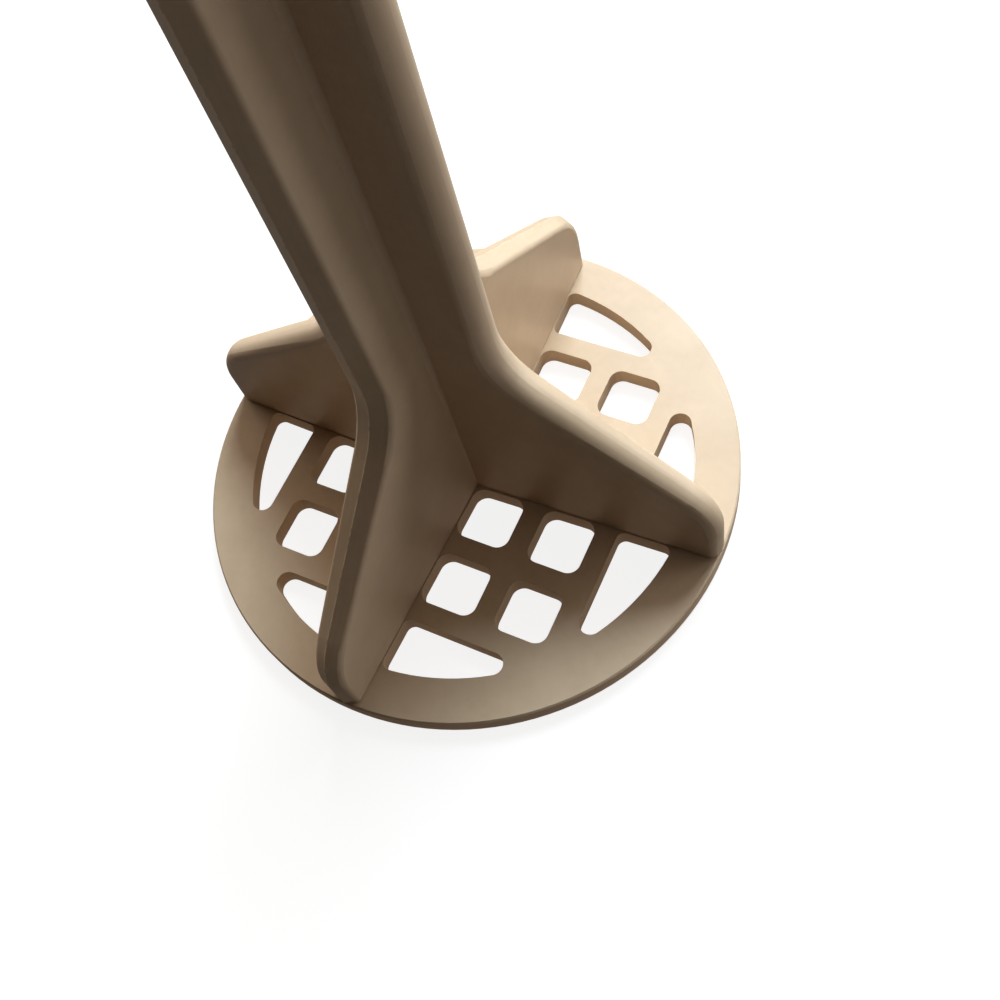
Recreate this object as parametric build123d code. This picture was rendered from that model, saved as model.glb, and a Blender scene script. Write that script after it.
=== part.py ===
from build123d import *
import math
import os

# Potato masher moulded in plastic: a round perforated plate and a handle of four fins set
# in a cross, which flare at the foot to stand on the plate.
# Millimetres. The origin is the centre of the plate's underside, +Z runs up the handle.
# The side fins lie along X and the front and back fins along Y.

# Overall
overall_length = 250.0
plate_diameter = 85.0
plate_thickness = 3.1
cut_overrun = 2.0

# Plate: solid rim, curved segments inside it, and a grid of square holes between their ribs
rim_width = 6.85
plate_edge_chamfer = 0.25
segment_depth = 8.55
rib_width = 3.35
hole_corner_radius = 1.95
segment_corner_radius = 1.3
segment_tip_radius = 1.75

# The cross-shaped strip of the plate that carries the fins tapers as they do
strip_root_width = 7.0
strip_rim_width = 4.8

# Outline of a fin: plain stem, concave neck, straight slope, rounded shoulder and upright end
stem_radius = 12.6
fin_end_setback = 0.05
flare_top_height = 34.5
fin_end_height = 12.0
neck_radius = 12.0
shoulder_radius = 11.0
stem_end_radius = 9.0

# Thickness of the fins, at the axis and at their outer end, and what they lose up to the tip
side_fin_root_thickness = 6.3
side_fin_end_thickness = 4.2
front_fin_root_thickness = 6.6
front_fin_end_thickness = 4.3
tip_thinning = 1.0

# Edges: a crown on the side fins, its radius a share of half their root thickness, and two
# facets that meet at the parting line on the others. The corners between these edges and the
# flanks are rounded by a share of the fin's half-thickness where it is thinnest.
crown_share = 0.98
crown_corner_share = 0.66
parting_facet_degrees = 22.0
facet_corner_share = 0.45

# Valleys between the fins: crisp at the plate, soft up the stem, crisp again at the tip
valley_radius = 1.2
valley_end_radius = 0.2
valley_soft_height = 50.0
valley_tip_length = 40.0
valley_tip_gap = 4.0
valley_seat = 0.4
valley_overlap_share = 0.05

# Hidden joint, assumed: a tongue under the fins stands in a groove in the plate, which leaves
# a fine seam under the fins
tongue_width = 2.6
groove_depth = 1.6
seam_gap = 0.22
tongue_side_clearance = 0.1
tongue_end_clearance = 0.2
tongue_end_wall = 4.0

# Worked out from the sizes above
plate_radius = plate_diameter / 2
foot_height = plate_thickness + seam_gap
hole_field_radius = plate_radius - rim_width
strip_taper = (strip_root_width - strip_rim_width) / 2 / hole_field_radius
segment_start = hole_field_radius - segment_depth
grid_end = segment_start - rib_width
grid_start = strip_root_width / 2 / (1 + strip_taper)
grid_hole = (grid_end - grid_start - rib_width) / 2
fin_reach = plate_radius - fin_end_setback
side_fin_taper = (side_fin_root_thickness - side_fin_end_thickness) / 2 / fin_reach
front_fin_taper = (front_fin_root_thickness - front_fin_end_thickness) / 2 / fin_reach
rise_taper = tip_thinning / 2 / (overall_length - foot_height)
tongue_reach = plate_radius - tongue_end_wall


def strip_edge(reach):
    """Half-width of the plate's cross strip at a distance from the axis."""
    return strip_root_width / 2 - reach * strip_taper


def rounded_polygon(points, radius):
    face = make_face(Polyline(*points, close=True))
    return fillet(face.vertices(), radius)


def square_holes():
    """The four square holes of one quadrant. The sides along the strip follow its taper."""
    near_end = grid_start + grid_hole
    far_start = near_end + rib_width
    by_axis = [
        (grid_start, grid_start),
        (near_end, strip_edge(near_end)),
        (near_end, near_end),
        (strip_edge(near_end), near_end),
    ]
    by_side = [
        (far_start, strip_edge(far_start)),
        (grid_end, strip_edge(grid_end)),
        (grid_end, near_end),
        (far_start, near_end),
    ]
    by_front = [(y, x) for x, y in by_side]
    diagonal = [(far_start, far_start), (grid_end, far_start), (grid_end, grid_end), (far_start, grid_end)]
    return [rounded_polygon(p, hole_corner_radius) for p in (by_axis, by_side, by_front, diagonal)]


def segment_hole():
    """The curved triangle beside the side fin, in the first quadrant."""
    low = strip_edge(hole_field_radius)
    outer = (math.sqrt(hole_field_radius**2 - low**2), low)
    tip = (segment_start, math.sqrt(hole_field_radius**2 - segment_start**2))
    inner = (segment_start, strip_edge(segment_start))
    middle = math.atan2(outer[1] + tip[1], outer[0] + tip[0])
    crest = (hole_field_radius * math.cos(middle), hole_field_radius * math.sin(middle))
    face = make_face([Line(inner, outer), ThreePointArc(outer, crest, tip), Line(tip, inner)])
    face = fillet(face.vertices().sort_by(Axis.Y)[:2], segment_corner_radius)
    return fillet(face.vertices().sort_by(Axis.Y)[-1], segment_tip_radius)


def hole_cutters():
    segment = segment_hole()
    faces = square_holes() + [segment, mirror(segment, Plane.XZ.rotated((0, 0, 45)))]
    through = plate_thickness + 2 * cut_overrun
    quadrant = [extrude(Pos(0, 0, -cut_overrun) * f, through, dir=(0, 0, 1)) for f in faces]
    return [Rot(0, 0, turn) * hole for turn in (0, 90, 180, 270) for hole in quadrant]


def cross_bars(width, reach, bottom, top):
    """Two crossed bars, the shape of the tongue and of its groove."""
    middle = (bottom + top) / 2
    along_x = Pos(0, 0, middle) * Box(2 * reach, width, top - bottom)
    along_y = Pos(0, 0, middle) * Box(width, 2 * reach, top - bottom)
    return along_x + along_y


def mashing_plate():
    disc = Cylinder(plate_radius, plate_thickness, align=(Align.CENTER, Align.CENTER, Align.MIN))
    disc = chamfer(disc.edges().filter_by(GeomType.CIRCLE), plate_edge_chamfer)
    groove = cross_bars(
        tongue_width + 2 * tongue_side_clearance,
        tongue_reach + tongue_end_clearance,
        plate_thickness - groove_depth,
        plate_thickness + cut_overrun,
    )
    return disc - hole_cutters() - groove


def fin_outline(margin):
    """Outline of one fin, run on by a margin past the axis and below the foot."""
    foot = foot_height - margin
    shoulder = (fin_reach, plate_thickness + fin_end_height)
    neck = (stem_radius, plate_thickness + flare_top_height)
    tip = (stem_radius, overall_length)
    points = [(-margin, foot), (fin_reach, foot), shoulder, neck, tip, (-margin, overall_length)]
    face = make_face(Polyline(*points, close=True))
    for point, radius in ((shoulder, shoulder_radius), (neck, neck_radius), (tip, stem_end_radius)):
        corner = face.vertices().sort_by_distance(Vector(*point))[0]
        face = fillet(corner, radius)
    return face


def flank_plane(root_thickness, taper):
    """Flank of a fin that points along +X. It leans in outwards and upwards."""
    outwards = Vector(1, taper, 0)
    upwards = Vector(0, rise_taper, 1)
    return Plane((0, -root_thickness / 2, foot_height), x_dir=outwards, z_dir=upwards.cross(outwards))


def thinnest_half(root_thickness, taper):
    """Half-thickness of a fin at its outer end or up at the tip, whichever is less."""
    at_end = root_thickness / 2 - fin_reach * taper - (fin_end_height + shoulder_radius) * rise_taper
    at_tip = root_thickness / 2 - stem_radius * taper - tip_thinning / 2
    return min(at_end, at_tip)


def outer_edges(flank):
    """The edges of a flank without the one at the axis and the one at the foot."""
    return flank.edges().sort_by(Axis.X)[1:].sort_by(Axis.Z)[1:]


def crowned_blank():
    """Half of a side fin with an upright flank, its outer edge rounded almost to the middle."""
    half_thickness = side_fin_root_thickness / 2
    half = extrude(Plane.XZ * fin_outline(side_fin_root_thickness), half_thickness)
    flank = half.faces().sort_by(Axis.Y)[0]
    return fillet(outer_edges(flank), half_thickness * crown_share)


def faceted_blank():
    """Half of a front or back fin with no flank yet, its outer edge one sloping facet."""
    outline = Plane.XZ * fin_outline(front_fin_root_thickness)
    return extrude(outline, front_fin_root_thickness, taper=parting_facet_degrees)


def fin(half, root_thickness, taper, corner_share):
    """A fin that points along +X, from half its blank: flank cut, corner rounded, mirrored."""
    for plane in (flank_plane(root_thickness, taper), Plane.XY.offset(foot_height), Plane.YZ):
        half = split(half, plane, keep=Keep.TOP)
    flank = half.faces().sort_by(Axis.Y)[0]
    half = fillet(outer_edges(flank), corner_share * thinnest_half(root_thickness, taper))
    return half + mirror(half, Plane.XZ)


def valley_section(level, radius):
    """Section of the rounded strip that fills the corner between two fins, in the first quadrant."""
    thinning = (level - foot_height) * rise_taper
    side_half = side_fin_root_thickness / 2 - thinning
    front_half = front_fin_root_thickness / 2 - thinning
    both_tapers = 1 - side_fin_taper * front_fin_taper
    x = (front_half - side_half * front_fin_taper) / both_tapers
    y = (side_half - front_half * side_fin_taper) / both_tapers
    sunk = radius * valley_overlap_share
    centre_x = x + radius - sunk
    centre_y = y + radius - sunk
    on_side_fin = (centre_x, centre_y - radius)
    on_front_fin = (centre_x - radius, centre_y)
    diagonal = radius * math.sqrt(0.5)
    middle = (centre_x - diagonal, centre_y - diagonal)
    seat_x = x - valley_seat
    seat_y = y - valley_seat
    seat = [on_side_fin, (centre_x, seat_y), (seat_x, seat_y), (seat_x, centre_y), on_front_fin]
    curve = ThreePointArc(on_front_fin, middle, on_side_fin)
    return Pos(0, 0, level) * make_face([*Polyline(*seat).edges(), curve])


def valley_strips():
    tip = overall_length - valley_tip_gap
    levels = [
        (foot_height, valley_end_radius),
        (valley_soft_height, valley_radius),
        (tip - valley_tip_length, valley_radius),
        (tip, valley_end_radius),
    ]
    strip = loft([valley_section(level, radius) for level, radius in levels], ruled=True)
    right_pair = [strip, mirror(strip, Plane.XZ)]
    return right_pair + [mirror(s, Plane.YZ) for s in right_pair]


def handle():
    right = fin(crowned_blank(), side_fin_root_thickness, side_fin_taper, crown_corner_share)
    turned = fin(faceted_blank(), front_fin_root_thickness, front_fin_taper, facet_corner_share)
    back = Rot(0, 0, 90) * turned
    fins = right + mirror(right, Plane.YZ) + back + mirror(back, Plane.XZ)
    tongue = cross_bars(
        tongue_width, tongue_reach, plate_thickness - groove_depth, foot_height + cut_overrun
    )
    return fins + valley_strips() + tongue


os.makedirs("parts", exist_ok=True)
export_step(mashing_plate(), "parts/mashing_plate.step")
export_step(handle(), "parts/handle.step")
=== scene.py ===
import math
import random
import bmesh
import bpy
from mathutils import Matrix, Vector


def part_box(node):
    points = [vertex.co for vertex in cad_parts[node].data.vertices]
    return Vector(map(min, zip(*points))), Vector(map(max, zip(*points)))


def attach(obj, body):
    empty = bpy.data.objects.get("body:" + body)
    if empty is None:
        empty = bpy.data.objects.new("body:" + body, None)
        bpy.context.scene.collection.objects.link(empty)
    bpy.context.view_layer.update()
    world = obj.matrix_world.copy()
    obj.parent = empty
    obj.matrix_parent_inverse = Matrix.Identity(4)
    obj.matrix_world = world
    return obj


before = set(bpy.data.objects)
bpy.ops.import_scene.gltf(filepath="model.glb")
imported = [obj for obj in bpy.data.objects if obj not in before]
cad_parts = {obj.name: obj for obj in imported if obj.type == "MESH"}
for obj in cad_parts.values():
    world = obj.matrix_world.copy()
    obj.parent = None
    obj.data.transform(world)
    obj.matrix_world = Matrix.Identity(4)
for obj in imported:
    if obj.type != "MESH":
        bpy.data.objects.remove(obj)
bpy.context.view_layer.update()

# Potato masher: the looks of its CAD nodes, their fine parting lines, and the stage. Metres.
MM = 0.001
PLATE_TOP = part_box("mashing_plate")[1].z
PLATE_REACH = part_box("mashing_plate")[1].x

# Camera, at the photograph's viewing angle
LENS = 42.73
SENSOR = 36.0
EYE = Vector((68.19, -67.21, 162.58)) * MM + Vector((0, 0, PLATE_TOP))
LOOK_AT = Vector((7.70, -4.26, 0.0)) * MM + Vector((0, 0, PLATE_TOP))
ROLL_DEGREES = -21.07
NEAREST = 0.005

# Plastic: its colours
WHITE = (1, 1, 1)
BEIGE = (0.68, 0.525, 0.375)
BEIGE_DARK = (0.63, 0.48, 0.335)
# The parting line is paler than the plastic: partly stress-whitened flash, partly a painted
# highlight along the fins' ridges.
LINE_WHITENED_HIGHLIGHT_BEIGE = (0.80, 0.64, 0.47)

# Plastic: a cloudy tone, with a swirl in the plate. A range is the span of noise a ramp covers.
CLOUD_SCALE = 60.0
CLOUD_DETAIL = 3.0
CLOUD_RANGE = (0.35, 0.65)
PLATE_SWIRL = 1.5

# Plastic: a fine mottle, which darkens the tone a little and varies the gloss
MOTTLE_SCALE = 700.0
MOTTLE_DETAIL = 4.0
MOTTLE_RANGE = (0.3, 0.6)
MOTTLE_DARK = 0.965
SMOOTHEST = 0.30
ROUGHEST = 0.46

# Plastic: streaks on the handle, drawn out along its edges
STREAK_SCALE = 1800.0
STREAK_DETAIL = 3.0
STREAK_DRAW = 0.12
STREAK_RANGE = (0.3, 0.7)
STREAK_DARK = 0.95
STREAK_STRENGTH = 0.25
STREAK_DEPTH = 0.03 * MM

# Plastic: the grain of the mould
GRAIN_SCALE = 3500.0
GRAIN_DETAIL = 2.0
GRAIN_STRENGTH = 0.12
GRAIN_DEPTH = 0.05 * MM

# Parting line: a fine, nicked, raised line along the edges of the front and back fins. Its
# section is a diamond, with one corner proud of the edge and the other three sunk in it.
STEM_REACH = 12.59 * MM
ON_AXIS = 0.001 * MM
LEVEL_DIGITS = 6
LINE_STEP = 0.4 * MM
LINE_CORNERS = 4
LINE_HALF_WIDTH = 0.13 * MM
LINE_HEIGHT = 0.045 * MM
LINE_LOWEST_SHARE = 0.4
LINE_DEPTH = 0.2 * MM
LINE_SIDE_DEPTH = 0.07 * MM
LINE_NICK = -0.03 * MM
NICK_SHARE = 0.12
LINE_SEED = 7

# Floor: what the camera sees of it, and the little that it throws up at the object
FLOOR_SIZE = 6.0
PALE_GLOW = 0.86
FLOOR_SHADOW_TONE = 0.24
FLOOR_BOUNCE = 0.08
FLOOR_ROUGHNESS = 1.0
FLOOR_SPECULAR = 0.0
FLOOR_GLOW = 0.07
FLOOR_GLOW_COLOUR = (1.0, 0.74, 0.54)
UNDER_PLATE_GLOW = 0.20
GLOW_FADED_REACH = 1.1 * PLATE_REACH

# Surroundings: how pale they look, and the even fill that they give
SKY_GLOW = 0.95
FILL = 0.004
FILL_COLOUR = (1.0, 0.80, 0.62)

# Lights: name, azimuth from +X towards +Y, elevation, watts, colour
LIGHTS = (
    ("behind", 92, 41, 12.4, (0.84, 0.95, 1.0)),
    ("behind_low", 90, 15, 1.8, (1.0, 0.95, 0.88)),
    ("behind_left", 135, 15, 1.0, (1.0, 0.85, 0.70)),
    ("behind_right", 45, 5, 3.2, (1.0, 0.97, 0.94)),
    ("left", 160, 8, 4.6, (1.0, 0.86, 0.72)),
    ("right", 0, 13, 0.55, (1.0, 0.96, 0.91)),
    ("right_high", 0, 45, 0.15, (1.0, 0.90, 0.80)),
    ("top", 90, 75, 1.0, (1.0, 0.78, 0.58)),
)
LIGHT_DISTANCE = 0.9
LIGHT_SIZE = 0.6
LIGHT_AIM = Vector((0, 0, 0.02))


def add_object(name, data):
    thing = bpy.data.objects.new(name, data)
    bpy.context.scene.collection.objects.link(thing)
    return thing


def make_camera():
    forward = (LOOK_AT - EYE).normalized()
    level_right = forward.cross(Vector((0, 0, 1))).normalized()
    level_up = level_right.cross(forward)
    roll = math.radians(ROLL_DEGREES)
    right = level_right * math.cos(roll) + level_up * math.sin(roll)
    up = right.cross(forward)
    data = bpy.data.cameras.new("camera")
    data.lens = LENS
    data.sensor_width = SENSOR
    data.clip_start = NEAREST
    camera = add_object("camera", data)
    turn = Matrix((right, up, -forward)).transposed().to_4x4()
    camera.matrix_world = Matrix.Translation(EYE) @ turn
    bpy.context.scene.camera = camera


def grey(tone):
    return (tone, tone, tone)


def new_material(name):
    material = bpy.data.materials.new(name)
    material.use_nodes = True
    nodes = material.node_tree.nodes
    return material, nodes, material.node_tree.links, nodes["Principled BSDF"]


def noise(nodes, links, place, scale, detail, stretch=(1, 1, 1), swirl=0.0):
    mapping = nodes.new("ShaderNodeMapping")
    mapping.inputs["Scale"].default_value = stretch
    texture = nodes.new("ShaderNodeTexNoise")
    texture.inputs["Scale"].default_value = scale
    texture.inputs["Detail"].default_value = detail
    texture.inputs["Distortion"].default_value = swirl
    links.new(place, mapping.inputs["Vector"])
    links.new(mapping.outputs["Vector"], texture.inputs["Vector"])
    return texture.outputs["Fac"]


def ramp(nodes, links, source, span, colours):
    """The first colour below the span, the second above it, and a blend within it."""
    node = nodes.new("ShaderNodeValToRGB")
    for element, position, colour in zip(node.color_ramp.elements, span, colours):
        element.position = position
        element.color = (*colour, 1)
    links.new(source, node.inputs["Fac"])
    return node.outputs["Color"]


def bump(nodes, links, height, strength, distance, under=None):
    """Relief from a height, laid over another relief where one is given."""
    node = nodes.new("ShaderNodeBump")
    node.inputs["Strength"].default_value = strength
    node.inputs["Distance"].default_value = distance
    links.new(height, node.inputs["Height"])
    if under:
        links.new(under, node.inputs["Normal"])
    return node.outputs["Normal"]


def maths(nodes, links, operation, *values):
    node = nodes.new("ShaderNodeMath")
    node.operation = operation
    for value, socket in zip(values, node.inputs):
        links.new(value, socket)
    return node.outputs["Value"]


def either(nodes, links, choice, no, yes):
    """One of two numbers. The mix's sockets share their names, so they go by place."""
    mix = nodes.new("ShaderNodeMix")
    mix.data_type = "FLOAT"
    links.new(choice, mix.inputs[0])
    links.new(no, mix.inputs[2])
    links.new(yes, mix.inputs[3])
    return mix.outputs[0]


def times(nodes, links, a, b):
    """One colour times another. The mix's sockets share their names, so they go by place."""
    mix = nodes.new("ShaderNodeMix")
    mix.data_type = "RGBA"
    mix.blend_type = "MULTIPLY"
    mix.inputs["Factor"].default_value = 1.0
    links.new(a, mix.inputs[6])
    links.new(b, mix.inputs[7])
    return mix.outputs[2]


def streaks(nodes, links, place):
    """Noise drawn out along the edges: fine across y on the side fins, across x on the others."""
    across_y = (STREAK_DRAW, 1, STREAK_DRAW)
    across_x = (1, STREAK_DRAW, STREAK_DRAW)
    fine_in_y = noise(nodes, links, place, STREAK_SCALE, STREAK_DETAIL, across_y)
    fine_in_x = noise(nodes, links, place, STREAK_SCALE, STREAK_DETAIL, across_x)
    split = nodes.new("ShaderNodeSeparateXYZ")
    links.new(place, split.inputs["Vector"])
    x = maths(nodes, links, "ABSOLUTE", split.outputs["X"])
    y = maths(nodes, links, "ABSOLUTE", split.outputs["Y"])
    on_side_fins = maths(nodes, links, "GREATER_THAN", x, y)
    return either(nodes, links, on_side_fins, fine_in_x, fine_in_y)


def plastic(name, light, dark, swirl=0.0, streaked=True):
    """Satin plastic: cloudy tone, fine mottle, varied gloss, mould grain and drawn-out streaks."""
    material, nodes, links, shader = new_material(name)
    place = nodes.new("ShaderNodeTexCoord").outputs["Object"]
    cloud = noise(nodes, links, place, CLOUD_SCALE, CLOUD_DETAIL, swirl=swirl)
    mottle = noise(nodes, links, place, MOTTLE_SCALE, MOTTLE_DETAIL)
    grain = noise(nodes, links, place, GRAIN_SCALE, GRAIN_DETAIL)
    clouded = ramp(nodes, links, cloud, CLOUD_RANGE, (dark, light))
    mottled = ramp(nodes, links, mottle, MOTTLE_RANGE, (grey(MOTTLE_DARK), WHITE))
    colour = times(nodes, links, clouded, mottled)
    relief = bump(nodes, links, grain, GRAIN_STRENGTH, GRAIN_DEPTH)
    if streaked:
        streak = streaks(nodes, links, place)
        streaky = ramp(nodes, links, streak, STREAK_RANGE, (grey(STREAK_DARK), WHITE))
        colour = times(nodes, links, colour, streaky)
        relief = bump(nodes, links, streak, STREAK_STRENGTH, STREAK_DEPTH, relief)
    gloss = nodes.new("ShaderNodeMapRange")
    gloss.inputs["To Min"].default_value = SMOOTHEST
    gloss.inputs["To Max"].default_value = ROUGHEST
    links.new(mottle, gloss.inputs["Value"])
    links.new(gloss.outputs["Result"], shader.inputs["Roughness"])
    links.new(colour, shader.inputs["Base Color"])
    links.new(relief, shader.inputs["Normal"])
    return material


def dress():
    for node, swirl, streaked in (("handle", 0.0, True), ("mashing_plate", PLATE_SWIRL, False)):
        material = plastic(node + "_plastic", BEIGE, BEIGE_DARK, swirl, streaked)
        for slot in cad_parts[node].material_slots:
            slot.material = material


def ridge(side):
    """The handle's edge on its front fin (side -1) or back fin (side 1), from foot to tip."""
    reach = {}
    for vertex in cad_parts["handle"].data.vertices:
        x, y, z = vertex.co
        if abs(x) < ON_AXIS and y * side > STEM_REACH:
            level = round(z, LEVEL_DIGITS)
            reach[level] = max(reach.get(level, 0), y * side)
    return [Vector((0, side * y, z)) for z, y in sorted(reach.items())]


def along(points, step):
    """Places at even steps along a run of points, each with its direction."""
    places = []
    for start, end in zip(points, points[1:]):
        count = max(1, round((end - start).length / step))
        direction = (end - start).normalized()
        places += [(start.lerp(end, i / count), direction) for i in range(count)]
    return places + [(points[-1], direction)]


def line_height(draw):
    """How far the parting line stands proud: uneven, and now and then nicked."""
    if draw.random() < NICK_SHARE:
        return LINE_NICK
    return LINE_HEIGHT * draw.uniform(LINE_LOWEST_SHARE, 1)


def make_parting_line(name, side):
    draw = random.Random(LINE_SEED)
    across = Vector((LINE_HALF_WIDTH, 0, 0))
    vertices = []
    for place, direction in along(ridge(side), LINE_STEP):
        outwards = Vector((0, side * direction.z, -side * direction.y))
        crest = place + outwards * line_height(draw)
        sides = place - outwards * LINE_SIDE_DEPTH
        root = place - outwards * LINE_DEPTH
        vertices += [crest, sides + across, root, sides - across]
    last = len(vertices) - LINE_CORNERS
    faces = []
    for low in range(0, last, LINE_CORNERS):
        high = low + LINE_CORNERS
        for corner in range(LINE_CORNERS):
            after = (corner + 1) % LINE_CORNERS
            faces.append((low + corner, low + after, high + after, high + corner))
    faces += [tuple(range(start, start + LINE_CORNERS)) for start in (0, last)]
    mesh = bpy.data.meshes.new(name)
    mesh.from_pydata(vertices, [], faces)
    turned = bmesh.new()
    turned.from_mesh(mesh)
    bmesh.ops.recalc_face_normals(turned, faces=turned.faces)
    turned.to_mesh(mesh)
    turned.free()
    # The line's pale colour is partly stress-whitening and partly a painted highlight along the
    # ridge.
    mesh.materials.append(plastic(name + "_plastic", LINE_WHITENED_HIGHLIGHT_BEIGE, LINE_WHITENED_HIGHLIGHT_BEIGE))
    line = add_object(name, mesh)
    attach(line, "root")


def floor_bounce(nodes, links, shader):
    """What the floor throws up at the object: little, and most of it under the plate."""
    shader.inputs["Base Color"].default_value = (*grey(FLOOR_BOUNCE), 1)
    shader.inputs["Roughness"].default_value = FLOOR_ROUGHNESS
    shader.inputs["Specular IOR Level"].default_value = FLOOR_SPECULAR
    shader.inputs["Emission Color"].default_value = (*FLOOR_GLOW_COLOUR, 1)
    place = nodes.new("ShaderNodeTexCoord").outputs["Object"]
    reach = nodes.new("ShaderNodeVectorMath")
    reach.operation = "LENGTH"
    links.new(place, reach.inputs[0])
    fade = nodes.new("ShaderNodeMapRange")
    fade.inputs["From Min"].default_value = PLATE_REACH
    fade.inputs["From Max"].default_value = GLOW_FADED_REACH
    fade.inputs["To Min"].default_value = UNDER_PLATE_GLOW
    fade.inputs["To Max"].default_value = FLOOR_GLOW
    links.new(reach.outputs["Value"], fade.inputs["Value"])
    links.new(fade.outputs["Result"], shader.inputs["Emission Strength"])
    return shader.outputs["BSDF"]


def floor_shown(nodes, links):
    """What the camera sees of the floor: near white, with faint shadows."""
    glow = nodes.new("ShaderNodeEmission")
    glow.inputs["Strength"].default_value = PALE_GLOW
    shadowed = nodes.new("ShaderNodeBsdfDiffuse")
    shadowed.inputs["Color"].default_value = (*grey(FLOOR_SHADOW_TONE), 1)
    shown = nodes.new("ShaderNodeAddShader")
    links.new(glow.outputs["Emission"], shown.inputs[0])
    links.new(shadowed.outputs["BSDF"], shown.inputs[1])
    return shown.outputs["Shader"]


def show_or_light(nodes, links, lit, shown, output):
    """One shader for the camera's rays and another for the rest of them."""
    choose = nodes.new("ShaderNodeMixShader")
    path = nodes.new("ShaderNodeLightPath")
    links.new(path.outputs["Is Camera Ray"], choose.inputs["Fac"])
    links.new(lit, choose.inputs[1])
    links.new(shown, choose.inputs[2])
    links.new(choose.outputs["Shader"], nodes[output].inputs["Surface"])


def make_floor():
    half = FLOOR_SIZE / 2
    corners = [(-half, -half, 0), (half, -half, 0), (half, half, 0), (-half, half, 0)]
    mesh = bpy.data.meshes.new("floor")
    mesh.from_pydata(corners, [], [(0, 1, 2, 3)])
    material, nodes, links, shader = new_material("floor")
    lit = floor_bounce(nodes, links, shader)
    show_or_light(nodes, links, lit, floor_shown(nodes, links), "Material Output")
    mesh.materials.append(material)
    add_object("floor", mesh)


def make_light(name, azimuth, elevation, watts, colour):
    turn = math.radians(azimuth)
    rise = math.radians(elevation)
    level = math.cos(rise)
    away = Vector((math.cos(turn) * level, math.sin(turn) * level, math.sin(rise)))
    data = bpy.data.lights.new(name, "AREA")
    data.shape = "DISK"
    data.size = LIGHT_SIZE
    data.energy = watts
    data.color = colour
    lamp = add_object(name, data)
    lamp.location = LIGHT_AIM + away * LIGHT_DISTANCE
    lamp.rotation_euler = away.to_track_quat("Z", "Y").to_euler()
    lamp.visible_camera = False


def make_world():
    """Weak even fill, which shows as pale as the floor."""
    world = bpy.data.worlds.new("world")
    world.use_nodes = True
    nodes = world.node_tree.nodes
    fill = nodes["Background"]
    fill.inputs["Color"].default_value = (*FILL_COLOUR, 1)
    fill.inputs["Strength"].default_value = FILL
    shown = nodes.new("ShaderNodeBackground")
    shown.inputs["Color"].default_value = (*WHITE, 1)
    shown.inputs["Strength"].default_value = SKY_GLOW
    lit, seen = fill.outputs["Background"], shown.outputs["Background"]
    show_or_light(nodes, world.node_tree.links, lit, seen, "World Output")
    bpy.context.scene.world = world


make_camera()
dress()
make_parting_line("front_parting_line", -1)
make_parting_line("back_parting_line", 1)
make_floor()
for light in LIGHTS:
    make_light(*light)
make_world()
bpy.context.scene.view_settings.view_transform = "Standard"
